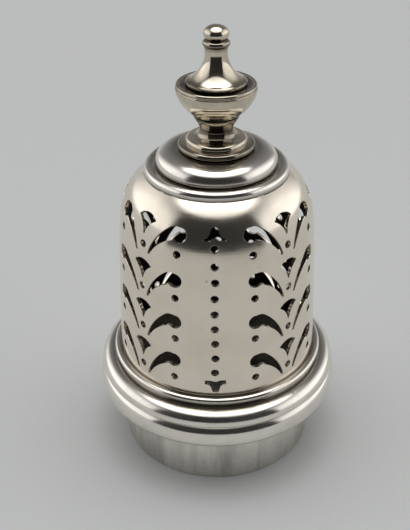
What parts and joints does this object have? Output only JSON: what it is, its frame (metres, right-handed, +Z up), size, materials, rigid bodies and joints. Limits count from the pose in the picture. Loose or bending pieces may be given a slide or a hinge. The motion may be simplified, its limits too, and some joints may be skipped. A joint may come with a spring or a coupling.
{
  "type": "caster cover",
  "caption": "Pierced silver cover of a sugar caster, with a domed shoulder, rounded base mouldings, an urn finial and a plain push-fit bezel, for sprinkling sugar.",
  "frame": {"origin": "middle of the bezel's lower edge, on the cover's axis", "axes": "+Z up the cover's axis towards the finial, -Y out of the upright column of dots that faces the picture's viewer, +X to that viewer's right"},
  "size_m": [0.059, 0.059, 0.105],
  "materials": {
    "silver": "polished silver with fine wear",
    "bezel_silver": "satin silver, rubbed by the body's mouth"
  },
  "bodies": {
    "root": {"bezel": "bezel_silver", "lower_moulding": "silver", "middle_moulding": "silver", "base_bead": "silver", "pierced_drum": "silver", "crown_bead": "silver", "crown_cap": "silver", "finial_foot": "silver", "finial_calyx": "silver", "finial_bowl": "silver", "finial_spire": "silver", "finial_collar": "silver", "finial_ball": "silver", "finial_pin": "silver"}
  },
  "joints": []
}
